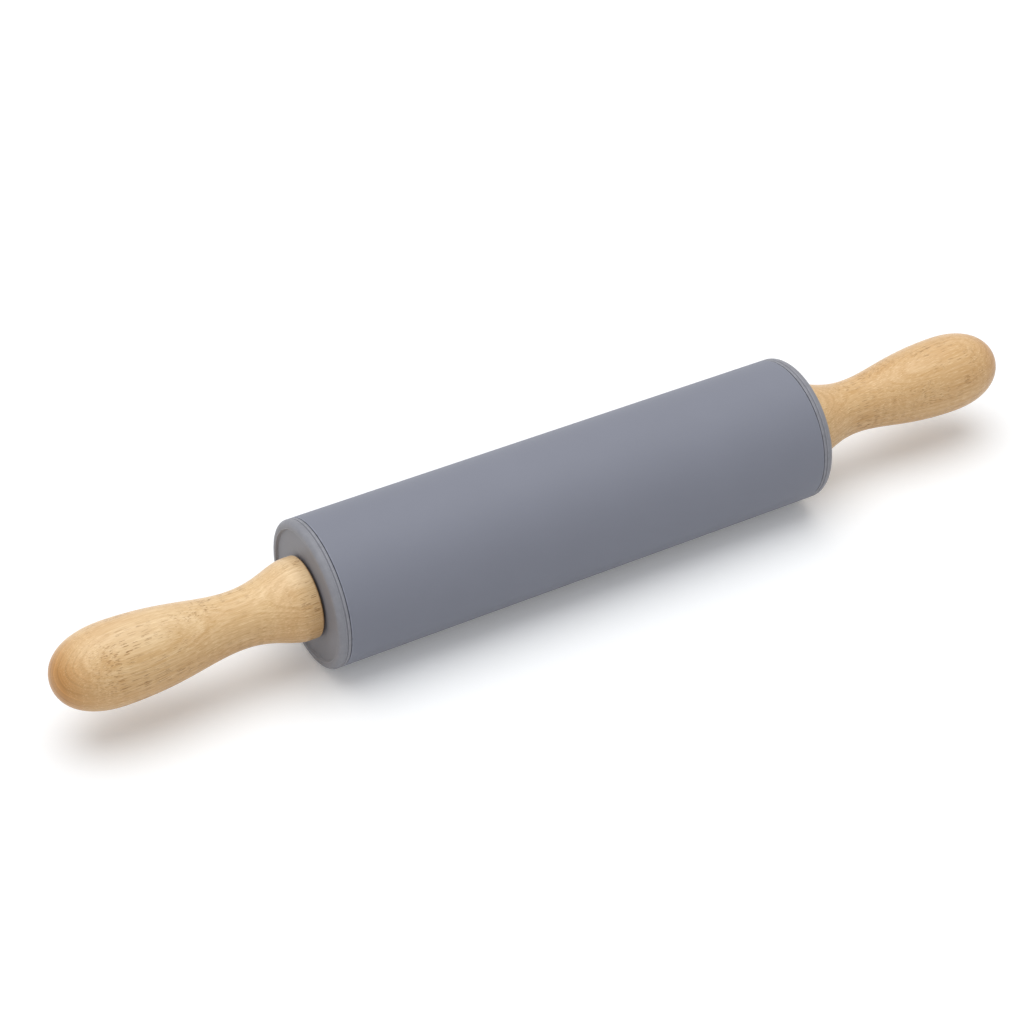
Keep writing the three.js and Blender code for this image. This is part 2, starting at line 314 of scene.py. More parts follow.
def profile_marks(profile, ring=True):
    """Two values for each row: how squarely it faces along the axle, and how sharp an edge it is on.

    The first is the radius' share of the step from the row before to the row after, 0 on a cylinder and 1 on
    an end face. The second is the turn of the profile there, over the length that it is spread on, against a
    rounding that counts as sharp. A row on the axle faces squarely along it, and is no edge.
    """
    before = profile - np.roll(profile, 1, axis=0)
    after = np.roll(profile, -1, axis=0) - profile
    through = unit(before + after)
    turn = before[:, 0] * after[:, 1] - before[:, 1] * after[:, 0]
    length_before, length_after = np.linalg.norm(before, axis=1), np.linalg.norm(after, axis=1)
    turn_angle = np.arcsin(np.clip(turn / np.maximum(length_before * length_after, HAIR ** 2), -1, 1))
    bend = turn_angle / np.maximum((length_before + length_after) / 2, HAIR)
    facing, edge = np.abs(through[:, 0]), np.clip(bend * SHARP_ROUNDING, 0, 1)
    if not ring:
        facing[[0, -1]] = 1
        edge[[0, -1]] = 0
    return facing, edge


# Surfaces

def grid_mesh(name, along, radius, turn, ring, marks, side=1.0):
    """Closed mesh of the grid x = along, y = radius sin(turn), z = axis height + radius cos(turn).

    Rows follow the profile and columns go round the axle. On a ring the last row joins the first; otherwise
    the first and last rows lie on the axle and each becomes one point. A side of -1 turns the piece half
    round, to the left end. If the volume comes out negative, all faces are turned over.
    """
    along, radius, turn = np.broadcast_arrays(along, radius, turn)
    rows, columns = along.shape
    points = np.stack(
        [side * along, side * radius * np.sin(turn), AXIS_HEIGHT + radius * np.cos(turn)], axis=-1)
    index = np.arange(rows * columns).reshape(rows, columns)
    marks = np.stack([np.broadcast_to(m[:, None], along.shape) for m in marks], axis=-1)
    fans = np.empty((0, 3), int)
    if ring:
        index = np.vstack([index, index[:1]])
        points, marks = points.reshape(-1, 3), marks.reshape(-1, 2)
    else:
        last = (rows - 2) * columns + 1
        points = np.concatenate([points[0, :1], points[1:-1].reshape(-1, 3), points[-1, :1]])
        marks = np.concatenate([marks[0, :1], marks[1:-1].reshape(-1, 2), marks[-1, :1]])
        index = np.arange(1, last).reshape(rows - 2, columns)
        pole = np.zeros(columns, int)
        fans = np.concatenate([
            np.stack([pole, index[0], np.roll(index[0], -1)], axis=1),
            np.stack([pole + last, np.roll(index[-1], -1), index[-1]], axis=1),
        ])
    beside = np.roll(index, -1, axis=1)
    quads = np.stack([index[:-1], index[1:], beside[1:], beside[:-1]], axis=-1).reshape(-1, 4)
    first, second, third, fourth = points[quads].transpose(1, 0, 2)
    volume = (first * (np.cross(second, third) + np.cross(third, fourth))).sum()
    if volume < 0:
        quads, fans = quads[:, ::-1], fans[:, ::-1]
    mesh = bpy.data.meshes.new(name)
    mesh.from_pydata(points.tolist(), [], quads.tolist() + fans.tolist())
    for label, values in zip(("facing", "edge"), marks.T):
        mesh.attributes.new(label, "FLOAT", "POINT").data.foreach_set("value", values.astype(np.float32))
    mesh.shade_smooth()
    mesh.set_sharp_from_angle(angle=SHARP_ANGLE)
    if mesh.validate():
        raise RuntimeError(f"{name}: the surface has faces that are not sound")
    return mesh


def turned(name, profile, segments, ring=True, relief=None, side=1.0):
    """A profile carried once round the axle. The relief, if any, such as a thread, is added to the radius."""
    turn = np.arange(segments)[None, :] * (math.tau / segments)
    radius, along = profile[:, :1], profile[:, 1:]
    if relief is not None:
        radius = radius + relief(along, turn)
    return grid_mesh(name, along, radius, turn, ring, profile_marks(profile, ring), side)


def thread_relief(sizes, start, end):
    """Depth of a right-hand thread, taken off the radius.

    The phase along / pitch + turn / one turn goes through a triangle wave with its crests and roots cut flat,
    and the thread runs in and out over one pitch at its two ends.
    """
    def relief(along, turn):
        phase = (along / sizes.thread_pitch + turn / math.tau) % 1
        wave = np.clip((1 + 2 * THREAD_FLAT) * np.abs(2 * phase - 1) - THREAD_FLAT, 0, 1)
        reach = np.abs(along)
        fade = np.clip(np.minimum(reach - start, end - reach) / sizes.thread_pitch, 0, 1)
        return -sizes.thread_depth * fade * wave
    return relief


# Node trees

def add_node(tree, kind, inputs=None, **settings):
    """A node with its settings, and with each named input linked to a socket or set to a value."""
    node = tree.nodes.new(kind)
    row, column = divmod(len(tree.nodes), NODES_IN_ROW)
    node.location = (NODE_STEP[0] * column, NODE_STEP[1] * row)
    for key, value in settings.items():
        setattr(node, key, value)
    for key, value in (inputs or {}).items():
        if isinstance(value, bpy.types.NodeSocket):
            tree.links.new(value, node.inputs[key])
        else:
            node.inputs[key].default_value = value
    return node


def calculate(tree, operation, first, second):
    """Output of a Math node."""
    return add_node(tree, "ShaderNodeMath", {0: first, 1: second}, operation=operation).outputs[0]


def times(tree, first, second):
    """Product of two values."""
    return calculate(tree, "MULTIPLY", first, second)


def vector_math(tree, operation, *vectors):
    """Outputs of a Vector Math node."""
    return add_node(tree, "ShaderNodeVectorMath", dict(enumerate(vectors)), operation=operation).outputs


def remap(tree, value, span, to=(0.0, 1.0), smooth=False):
    """A value brought from one span to another, and held there."""
    return add_node(tree, "ShaderNodeMapRange", {
        "Value": value, "From Min": span[0], "From Max": span[1], "To Min": to[0], "To Max": to[1],
    }, interpolation_type="SMOOTHSTEP" if smooth else "LINEAR").outputs["Result"]


def blend_colours(tree, factor, first, second):
    """Output of a Mix node between two colours, each a socket or a plain colour."""
    colours = {
        key: value if isinstance(value, bpy.types.NodeSocket) else (*value, 1.0)
        for key, value in ((6, first), (7, second))
    }
    return add_node(tree, "ShaderNodeMix", {0: factor, **colours}, data_type="RGBA").outputs[2]


def noise(tree, vector, scale=1.0, detail=2.0, roughness=0.5):
    """Outputs of a Noise texture in space."""
    return add_node(tree, "ShaderNodeTexNoise", {
        "Vector": vector, "Scale": scale, "Detail": detail, "Roughness": roughness,
    }).outputs


def noise_along(tree, distance, per_metre, detail=1.0, roughness=0.5):
    """Factor of a Noise texture that changes along one distance only."""
    return add_node(tree, "ShaderNodeTexNoise", {
        "W": times(tree, distance, per_metre), "Scale": 1.0, "Detail": detail, "Roughness": roughness,
    }, noise_dimensions="1D").outputs["Fac"]


def stretched(tree, vector, scale, location=(0, 0, 0), rotation=(0, 0, 0)):
    """Coordinates moved, turned and stretched by a Mapping node."""
    return add_node(tree, "ShaderNodeMapping", {
        "Vector": vector, "Location": location, "Rotation": rotation, "Scale": scale,
    }).outputs["Vector"]


def attribute(tree, name):
    """A value kept on the mesh's points."""
    return add_node(tree, "ShaderNodeAttribute", attribute_name=name).outputs["Fac"]


def object_coordinates(tree):
    """The piece's own coordinates."""
    return add_node(tree, "ShaderNodeTexCoord").outputs["Object"]


def bump(tree, height, depth):
    """Normals of a relief of the given depth in metres."""
    return add_node(tree, "ShaderNodeBump", {"Height": height, "Distance": depth}).outputs["Normal"]


def tinted(base, factor):
    """A plain colour made lighter or darker."""
    return tuple(min(1.0, channel * factor) for channel in base)


# Effects that several finishes share

def moulded_skin(tree, given):
    """Unevenness of a moulded skin: soft clouds, and a fine grain."""
    cloud = noise(tree, given["Vector"], given["Cloud Scale"], 3.0, 0.55)["Fac"]
    grain = noise(tree, given["Vector"], given["Grain Scale"], 2.0, 0.6)["Fac"]
    return {"Cloud": remap(tree, cloud, (0.3, 0.7)), "Grain": remap(tree, grain, (0.25, 0.75))}


def rubbed_highlit_edge(tree, given):
    """Mask of edges that hands and worktops have rubbed, where the finishes also paint a highlight, broken up
    by a noise.
    """
    breakup = noise(tree, given["Vector"], given["Breakup Scale"], 3.0, 0.6)["Fac"]
    worn_highlit = times(tree, given["Edge"], remap(tree, breakup, (0.3, 0.65)))
    return {"Mask": remap(tree, worn_highlit, (0.05, 0.6))}


def turning_marks(tree, given):
    """Fine rings that a lathe leaves: a noise of the place along the axle, uneven in depth."""
    along = add_node(tree, "ShaderNodeSeparateXYZ", {0: given["Vector"]}).outputs["X"]
    rings = noise_along(tree, along, given["Marks per Metre"])
    depth = noise(tree, given["Vector"], 120.0)["Fac"]
    return {"Marks": times(tree, rings, remap(tree, depth, (0.3, 0.7), (0.5, 1.0)))}


# What builds each effect, and its inputs beside the coordinates, with their defaults
EFFECTS = {
    "Moulded Skin": (moulded_skin, {"Cloud Scale": 30.0, "Grain Scale": 1800.0}),
    "Handled Edge": (rubbed_highlit_edge, {"Edge": 0.0, "Breakup Scale": 400.0}),
    "Turning Marks": (turning_marks, {"Marks per Metre": 4000.0}),
}


def effect_group(name):
    """The shader node group of an effect, built when it is first asked for."""
    if name in bpy.data.node_groups:
        return bpy.data.node_groups[name]
    build, values = EFFECTS[name]
    tree = bpy.data.node_groups.new(name, "ShaderNodeTree")
    tree.interface.new_socket("Vector", in_out="INPUT", socket_type="NodeSocketVector")
    for label, default in values.items():
        socket = tree.interface.new_socket(label, in_out="INPUT", socket_type="NodeSocketFloat")
        socket.default_value = default
    results = build(tree, add_node(tree, "NodeGroupInput").outputs)
    for label in results:
        tree.interface.new_socket(label, in_out="OUTPUT", socket_type="NodeSocketFloat")
    add_node(tree, "NodeGroupOutput", results)
    return tree


def effect(tree, name, inputs):
    """Outputs of an effect placed in a material, with its inputs linked or set."""
    return add_node(tree, "ShaderNodeGroup", inputs, node_tree=effect_group(name)).outputs


# Finishes

# How far a rubbed edge of plastic pales, partly as wear and partly as a painted highlight, towards which tint
# of its colour, and how much smoother it is
RUBBED_HIGHLIGHT_SHARE = 0.6
RUBBED_HIGHLIGHT_TINT = 1.5
RUBBED_POLISH = 0.08

# Tints of metal between its marks and on them, and on a rubbed edge, whose brighter tint is partly wear and
# partly a painted highlight
MARK_TINTS = (0.85, 1.1)
METAL_EDGE_HIGHLIGHT_TINT = 1.3

# What the grain of plastic and the marks on metal add to the roughness, at their least and at their most
GRAIN_ROUGHNESS = (-0.04, 0.05)
MARK_ROUGHNESS = (-0.06, 0.1)


def rubbed_highlit_edges(tree, where, breakup_scale=400.0):
    """Mask of a piece's rubbed edges, which the finishes pale partly as wear and partly as a painted
    highlight.
    """
    return effect(tree, "Handled Edge", {
        "Vector": where, "Edge": attribute(tree, "edge"), "Breakup Scale": breakup_scale})["Mask"]


def moulded(tree, colours, base, roughness, spread, grain_scale, grain_depth):
    """A moulded skin: clouded colour, a fine grain in its relief and its gloss, and edges rubbed smoother.

    Its edges also pale, partly as wear and partly as a painted highlight.

    The clouds go from the base colour less the spread to the base colour plus the spread.
    """
    base = getattr(colours, base)
    where = object_coordinates(tree)
    skin = effect(tree, "Moulded Skin", {"Vector": where, "Grain Scale": grain_scale})
    rubbed = rubbed_highlit_edges(tree, where)
    clouded = blend_colours(tree, skin["Cloud"], tinted(base, 1 - spread), tinted(base, 1 + spread))
    matt = remap(tree, skin["Grain"], (0, 1), [roughness + more for more in GRAIN_ROUGHNESS])
    # Rubbed edges pale towards a lighter tint: partly wear, partly a painted highlight.
    paled_highlight = times(tree, rubbed, RUBBED_HIGHLIGHT_SHARE)
    return {
        "Base Color": blend_colours(tree, paled_highlight, clouded, tinted(base, RUBBED_HIGHLIGHT_TINT)),
        "Roughness": calculate(tree, "SUBTRACT", matt, times(tree, rubbed, RUBBED_POLISH)),
        "Normal": bump(tree, skin["Grain"], grain_depth),
    }


def metal(tree, colours, base, roughness, marks_per_metre, mark_depth):
    """A turned or drawn metal: fine rings in its relief and its gloss, brighter along its edges.

    The brighter edges are partly wear and partly a painted highlight.
    """
    base = getattr(colours, base)
    where = object_coordinates(tree)
    marks = effect(tree, "Turning Marks", {"Vector": where, "Marks per Metre": marks_per_metre})["Marks"]
    ringed = blend_colours(tree, marks, *[tinted(base, tint) for tint in MARK_TINTS])
    return {
        # Edges brighten: partly wear, partly a painted highlight.
        "Base Color": blend_colours(tree, rubbed_highlit_edges(tree, where), ringed, tinted(base, METAL_EDGE_HIGHLIGHT_TINT)),
        "Roughness": remap(tree, marks, (0, 1), [roughness + more for more in MARK_ROUGHNESS]),
        "Normal": bump(tree, marks, mark_depth),
    }


# How far the grain lies askew to the axle, how far it sways, where its pith is, and how close its rings are
GRAIN_TILT = (0, math.radians(1.2), math.radians(-1.5))
GRAIN_SWAY = (0, 0.007, 0.007)
PITH_SHIFT = (0, 0.021, -0.034)
RINGS_PER_METRE = 650.0

# Each pattern of the wood: its steps per metre along the grain and across it, and its shift
WOOD_PATTERNS = {
    "sway": ((12, 40, 40), (0, 0, 0)),
    "fibres": ((55, 2000, 2000), (0, 0, 0)),
    "blotches": ((26, 55, 55), (4.77, 1.17, 1.73)),
    "flecks": ((250, 3300, 3300), (0.41, 0.11, 0.23)),
    "clusters": ((30, 130, 130), (0.4, 0.7, 0.2)),
    "fine pores": ((230, 4000, 4000), (0, 0, 0)),
    "coarse pores": ((120, 2600, 2600), (0.13, 0.29, 0.17)),
}

# Where the blanks change tone, from one to the other and up the right handle; and the heights over which
# painted shade deepens the left handle towards its bottom and a painted highlight pales it towards its top
TO_LEFT_BLANK = (0.01, -0.01)
UP_RIGHT_HANDLE = (0.06, 0.19)
TO_PAINTED_SHADE = (AXIS_HEIGHT + 0.012, AXIS_HEIGHT - 0.003)
TO_PAINTED_HIGHLIGHT = (AXIS_HEIGHT + 0.01, AXIS_HEIGHT + 0.0165)


def pattern(tree, vector, name):
    """Coordinates drawn out for one of the wood's patterns."""
    return stretched(tree, vector, *WOOD_PATTERNS[name])


def wood_pores(tree, vector, left_out, reach):
    """Mask of long thin pores: the inside of some of a Voronoi texture's cells, each with its own reach."""
    cells = add_node(tree, "ShaderNodeTexVoronoi", {"Vector": vector, "Scale": 1.0, "Randomness": 1.0})
    chance = add_node(tree, "ShaderNodeSeparateColor", {0: cells.outputs["Color"]}).outputs[0]
    size = remap(tree, chance, (left_out, 1.0), (0.0, reach))
    inside = calculate(tree, "SUBTRACT", size, cells.outputs["Distance"])
    return remap(tree, inside, (0.0, 0.08), smooth=True)


def blank_tone_and_painted_light(tree, where, timber, colours):
    """The timber in its blank's tone, the right handle deeper towards its tip; on the left handle a painted
    highlight pales the upper side and painted shade deepens the lower side.
    """
    along, _, height = add_node(tree, "ShaderNodeSeparateXYZ", {0: where}).outputs
    on_left = remap(tree, along, TO_LEFT_BLANK)
    right_tip = remap(tree, along, UP_RIGHT_HANDLE, (0.0, colours.blank_shift))
    # Painted shade deepens the left handle's lower side, and a painted highlight pales its upper side.
    painted_shade = remap(tree, height, TO_PAINTED_SHADE, (0.0, colours.painted_shade_shift))
    painted_highlight = remap(tree, height, TO_PAINTED_HIGHLIGHT, (0.0, colours.painted_highlight_shift))
    pale = blend_colours(tree, times(tree, on_left, painted_highlight), timber, colours.wood_sap)
    deeper = calculate(tree, "ADD", right_tip, times(tree, on_left, painted_shade))
    return blend_colours(tree, deeper, pale, colours.wood_end)


def wood(tree, colours, pore_depth):
    """Light hardwood, sawn along its grain and turned, under a satin lacquer.

    Growth rings are a noise of the distance from a pith that lies beside the handle, and fibres are a noise
    drawn out along the grain. Dark pores and pale flecks are long thin cells, some of them left out, and the
    pores stand in clusters. Where the turning cuts across the fibres, as at the tip, the wood is deeper, its
    rings show, and pores and flecks fade. Slow blotches and the blanks' own tones lie under all this, and
    on the left handle so do a painted highlight that pales its upper side and painted shade that deepens its
    lower side.
    """
    where = object_coordinates(tree)
    cut_across = attribute(tree, "facing")
    grain = stretched(tree, where, (1, 1, 1), (0, 0, -AXIS_HEIGHT), GRAIN_TILT)
    drift = noise(tree, pattern(tree, grain, "sway"))["Color"]
    sway = vector_math(tree, "SUBTRACT", drift, (0.5, 0.5, 0.5))[0]
    swayed = vector_math(tree, "MULTIPLY_ADD", sway, GRAIN_SWAY, grain)[0]
    from_pith = vector_math(tree, "LENGTH", stretched(tree, swayed, (0, 1, 1), PITH_SHIFT))["Value"]
    rings = noise_along(tree, from_pith, RINGS_PER_METRE, 2.0, 0.6)
    fibres = noise(tree, pattern(tree, swayed, "fibres"), 1.0, 3.0, 0.65)["Fac"]
    blotches = noise(tree, pattern(tree, grain, "blotches"), 1.0, 3.0, 0.6)["Fac"]

    ring_share = remap(tree, rings, (0.3, 0.7), (0, 0.4))
    fibre_share = remap(tree, fibres, (0.32, 0.68), (0, 0.6))
    figure = calculate(tree, "ADD", ring_share, fibre_share)
    timber = blend_colours(tree, figure, colours.wood_light, colours.wood_dark)
    # The timber in the blanks' tones, with a painted highlight above and painted shade below on the left
    # handle.
    blank = blank_tone_and_painted_light(tree, where, timber, colours)
    warmth = remap(tree, blotches, (0.44, 0.68), (0, 0.32))
    warm = blend_colours(tree, warmth, blank, colours.wood_end)
    end_rings = remap(tree, rings, (0.3, 0.7))
    end_grain = blend_colours(tree, end_rings, tinted(colours.wood_end, 1.1), tinted(colours.wood_end, 0.74))
    end_share = remap(tree, cut_across, (0.25, 0.8), (0, 0.95))
    ended = blend_colours(tree, end_share, warm, end_grain)

    flecks = wood_pores(tree, pattern(tree, swayed, "flecks"), left_out=0.4, reach=0.55)
    fleck_share = times(tree, flecks, remap(tree, cut_across, (0.3, 0.8), (0.38, 0.15)))
    flecked = blend_colours(tree, fleck_share, ended, tinted(colours.wood_light, 1.12))
    clusters = noise(tree, pattern(tree, swayed, "clusters"))["Fac"]
    fine = wood_pores(tree, pattern(tree, swayed, "fine pores"), left_out=0.45, reach=0.55)
    coarse = wood_pores(tree, pattern(tree, swayed, "coarse pores"), left_out=0.65, reach=0.5)
    fine_here = times(tree, fine, remap(tree, clusters, (0.4, 0.62), (0.1, 1.0)))
    coarse_here = times(tree, coarse, remap(tree, clusters, (0.44, 0.64)))
    open_share = remap(tree, cut_across, (0.04, 0.3), (1.0, 0.3))
    pores = times(tree, calculate(tree, "MAXIMUM", fine_here, coarse_here), open_share)
    pore_share = times(tree, pores, 0.75)
    pored = blend_colours(tree, pore_share, flecked, colours.wood_pore)

    # Rubbed edges pale towards lighter wood: partly wear, partly a painted highlight.
    rubbed_highlight_share = times(tree, rubbed_highlit_edges(tree, where, breakup_scale=250.0), 0.35)
    marks = effect(tree, "Turning Marks", {"Vector": where, "Marks per Metre": 900.0})["Marks"]
    mark_height, fibre_height = times(tree, marks, 0.15), times(tree, fibres, 0.2)
    height = calculate(tree, "ADD", calculate(tree, "SUBTRACT", mark_height, pores), fibre_height)
    return {
        "Base Color": blend_colours(tree, rubbed_highlight_share, pored, tinted(colours.wood_light, 1.1)),
        "Roughness": remap(tree, fibres, (0.2, 0.8), (0.4, 0.52)),
        "Normal": bump(tree, height, pore_depth),
    }


# The finish of each material slot: its name, what builds it, that builder's values, and what is even all over
FINISHES = {
    "silicone": (
        "Matte Silicone", moulded,
        {"base": "silicone", "roughness": 0.62, "spread": 0.02, "grain_scale": 2200.0, "grain_depth": 1e-5},
        {"Specular IOR Level": 0.35, "Sheen Weight": 0.08, "Sheen Roughness": 0.4}),
    "cap_plastic": (
        "Cap Plastic", moulded,
        {"base": "cap", "roughness": 0.5, "spread": 0.025, "grain_scale": 2600.0, "grain_depth": 8e-6},
        {"Specular IOR Level": 0.4}),
    "tube_plastic": (
        "Tube Plastic", moulded,
        {"base": "tube", "roughness": 0.55, "spread": 0.03, "grain_scale": 1500.0, "grain_depth": 1e-5},
        {}),
    "nylon": (
        "Natural Nylon", moulded,
        {"base": "nylon", "roughness": 0.45, "spread": 0.03, "grain_scale": 1500.0, "grain_depth": 1e-5},
        {"Subsurface Weight": 0.1, "Subsurface Radius": (0.001, 0.0008, 0.0005)}),
    "steel": (
        "Drawn Steel", metal,
        {"base": "steel", "roughness": 0.3, "marks_per_metre": 2500.0, "mark_depth": 2e-5},
        {"Metallic": 1.0}),
    "brass": (
        "Turned Brass", metal,
        {"base": "brass", "roughness": 0.32, "marks_per_metre": 6000.0, "mark_depth": 2e-5},
        {"Metallic": 1.0}),
    "wood": (
        "Lacquered Wood", wood,
        {"pore_depth": 1e-4},
        {"Coat Weight": 0.45, "Coat Roughness": 0.22, "Coat IOR": 1.4, "Specular IOR Level": 0.1}),
}


def finish(slot, colours):
    """The material of a slot, built when it is first asked for. Even values are set on the shader itself."""
    name, build, values, even = FINISHES[slot]
    if name in bpy.data.materials:
        return bpy.data.materials[name]
    material = bpy.data.materials.new(name)
    material.use_nodes = True
    tree = material.node_tree
    shader = tree.nodes["Principled BSDF"]
    for key, value in even.items():
        shader.inputs[key].default_value = value
    for key, socket in build(tree, colours, **values).items():
        tree.links.new(socket, shader.inputs[key])
    return material


def place(mesh, node, body, slot):
    """Puts a mesh into the scene in its node's stead, in its slot's finish."""
    piece = bpy.data.objects.new(mesh.name, mesh)
    bpy.context.scene.collection.objects.link(piece)
    mesh.materials.append(finish(slot, bpy.context.scene.rolling_pin.colours))
    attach(piece, body)
    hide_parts(node)


# Shapes of the pieces

def ring_profile(bore, radius, start, end, inner_edge, outer_edge):
    """A plain ring or sleeve, with one rounding for its inner edges and one for its outer edges."""
    return outline([
        (bore, start, inner_edge),
        (radius, start, outer_edge),
        (radius, end, outer_edge),
        (bore, end, inner_edge),
    ])


def sleeve_profile(sizes):
    """A plain sleeve with a softly rounded lip at each seam."""
    bore = BARREL_RADIUS - sizes.sleeve_wall
    return ring_profile(bore, BARREL_RADIUS, -SLEEVE_END, SLEEVE_END, sizes.edge_break, sizes.seam_lip)


def tube_profile(sizes):
    """A tube, countersunk at both mouths."""
    bore = TUBE_RADIUS - sizes.tube_wall
    mouth, lead = bore + sizes.tube_lead_in, SLEEVE_END - sizes.tube_lead_in
    return outline([
        (mouth, -SLEEVE_END, sizes.edge_break),
        (TUBE_RADIUS, -SLEEVE_END, sizes.edge_break),
        (TUBE_RADIUS, SLEEVE_END, sizes.edge_break),
        (mouth, SLEEVE_END, sizes.edge_break),
        (bore, lead, 0),
        (bore, -lead, 0),
    ])


def cap_mesh(name, sizes, axle, side):
    """A cap, with the ribs of its inside in the same surface.

    The profile is carried round the axle on columns that are gathered at each rib: a rib's columns lie at
    arcsin(half its thickness / radius) and less from its middle, the others are spread over the bay between
    two ribs. In a rib's columns the rows of the cavity's floor are lifted to the rib's top.
    """
    gap, brk = sizes.plug_gap, sizes.edge_break
    shoulder = BARREL_END - sizes.cap_band
    groove = BARREL_END - (sizes.rim_radius + sizes.cap_band - sizes.seam_lip) / 2
    plate_back = RECESS_FACE - sizes.cap_plate
    seat = RECESS_FACE - axle.bush_flange - gap
    flange_bore = BUSH_FLANGE_RADIUS + gap
    hub_bore = AXLE_RADIUS + axle.bush_gap + axle.bush_wall + gap
    hub_radius = hub_bore + sizes.hub_wall
    plug_radius = TUBE_RADIUS - sizes.tube_wall - gap
    plug_bore = plug_radius - sizes.plug_wall
    recess_radius = BARREL_RADIUS - sizes.rim_width
    profile = outline([
        (flange_bore, RECESS_FACE, brk),
        (flange_bore, seat, 0),
        (hub_bore, seat, brk),
        (hub_bore, BUSH_END, brk),
        (hub_radius, BUSH_END, brk),
        (hub_radius, plate_back, brk),
        (plug_bore, plate_back, brk),
        (plug_bore, PLUG_END, brk),
        (plug_radius - sizes.plug_taper, PLUG_END, brk),
        (plug_radius, PLUG_END + sizes.plug_lead_in, 0),
        (plug_radius, shoulder, brk),
        (BARREL_RADIUS, shoulder, sizes.seam_lip),
        (BARREL_RADIUS, groove - sizes.groove_width / 2, sizes.bead_radius),
        (BARREL_RADIUS - sizes.groove_depth, groove, brk / 2),
        (BARREL_RADIUS, groove + sizes.groove_width / 2, sizes.bead_radius),
        (BARREL_RADIUS, BARREL_END, sizes.rim_radius),
        (recess_radius, BARREL_END, sizes.rim_inner_edge),
        (recess_radius - sizes.recess_draft, RECESS_FACE, 0),
    ])
    radius, along = profile[:, :1], profile[:, 1:]
    bay_columns = sizes.segments // sizes.rib_count - RIB_COLUMNS
    in_rib = np.repeat([True, False], [RIB_COLUMNS, bay_columns])
    over_rib = np.concatenate([np.linspace(-1, 1, RIB_COLUMNS), np.zeros(bay_columns)])
    over_bay = np.concatenate([np.zeros(RIB_COLUMNS), np.linspace(0, 1, bay_columns)])
    reach = np.clip(radius, hub_radius, plug_bore)
    top_half = np.arcsin((sizes.rib_thickness / 2 - sizes.rib_draft) / reach)
    root_half = np.arcsin((sizes.rib_thickness / 2 + sizes.rib_draft) / reach)
    sector = math.tau / sizes.rib_count
    within = np.where(in_rib, over_rib * top_half, root_half + over_bay * (sector - 2 * root_half))
    sectors = sector * np.arange(sizes.rib_count)
    turn = (within[:, None, :] + sectors[None, :, None]).reshape(len(profile), -1)
    floor = (
        (np.abs(along - plate_back) < brk + SUPPORT + HAIR)
        & (radius > hub_radius - HAIR) & (radius < plug_bore + HAIR)
    )
    lift = max(BUSH_END, PLUG_END) + sizes.rib_setback - plate_back
    lifted = along + np.where(floor & np.tile(in_rib, sizes.rib_count)[None, :], lift, 0)
    return grid_mesh(name, lifted, radius, turn, True, profile_marks(profile), side)


def bush_profile(sizes):
    """A bush with a flange at its outer end and a countersunk bore at its inner end."""
    bore, brk = AXLE_RADIUS + sizes.bush_gap, sizes.edge_break
    radius, seat = bore + sizes.bush_wall, RECESS_FACE - sizes.bush_flange
    return outline([
        (bore, BUSH_END + sizes.bush_lead_in, 0),
        (bore + sizes.bush_lead_in, BUSH_END, brk),
        (radius, BUSH_END, brk),
        (radius, seat, 0),
        (BUSH_FLANGE_RADIUS, seat, brk),
        (BUSH_FLANGE_RADIUS, RECESS_FACE, brk),
        (bore, RECESS_FACE, brk),
    ])


def axle_profile(sizes):
    """A rod with a shoulder and a spigot at each end, close points along the spigots for their threads."""
    shoulder = HANDLE_FACE - sizes.shoulder_gap
    neck = outline([
        (AXLE_RADIUS, 0, 0),
        (AXLE_RADIUS, shoulder - sizes.shoulder_chamfer, sizes.edge_break),
        (AXLE_RADIUS - sizes.shoulder_chamfer, shoulder, sizes.edge_break),
        (sizes.spigot_radius, shoulder, 0),
    ], closed=False)
    spigot = threaded_run(sizes.spigot_radius, shoulder, AXLE_END - sizes.chamfer, sizes)
    tip = np.array([(sizes.spigot_radius - sizes.chamfer, AXLE_END), (0, AXLE_END)])
    right = np.vstack([neck[1:], spigot, tip])
    return np.vstack([right[::-1] * (1, -1), right])


def washer_profile(sizes):
    """A thin flat ring."""
    bore, brk = AXLE_RADIUS + sizes.washer_play, sizes.edge_break
    return ring_profile(bore, WASHER_RADIUS, WASHER_START, WASHER_END, brk, brk)


def insert_profile(sizes):
    """A flanged insert with barbs outside, close points along its bore for the thread."""
    brk = sizes.edge_break
    bore = sizes.spigot_radius + sizes.thread_gap
    radius = bore + sizes.insert_wall
    flange_back = HANDLE_FACE + sizes.insert_flange
    pitch = (INSERT_END - flange_back) / sizes.barb_count
    barbs = [
        corner for i in range(sizes.barb_count) for corner in (
            (radius + sizes.barb_height, flange_back + pitch * i + sizes.barb_relief, brk),
            (radius, flange_back + pitch * (i + 1), 0),
        )
    ]
    outside = outline([
        (bore, HANDLE_FACE, 0),
        (INSERT_FLANGE_RADIUS, HANDLE_FACE, brk),
        (INSERT_FLANGE_RADIUS, flange_back, brk),
        (radius, flange_back, 0),
        *barbs,
        (bore, INSERT_END, 0),
    ], closed=False)
    inside = threaded_run(bore, INSERT_END, HANDLE_FACE, sizes)
    return np.vstack([outside, inside[:-1]])


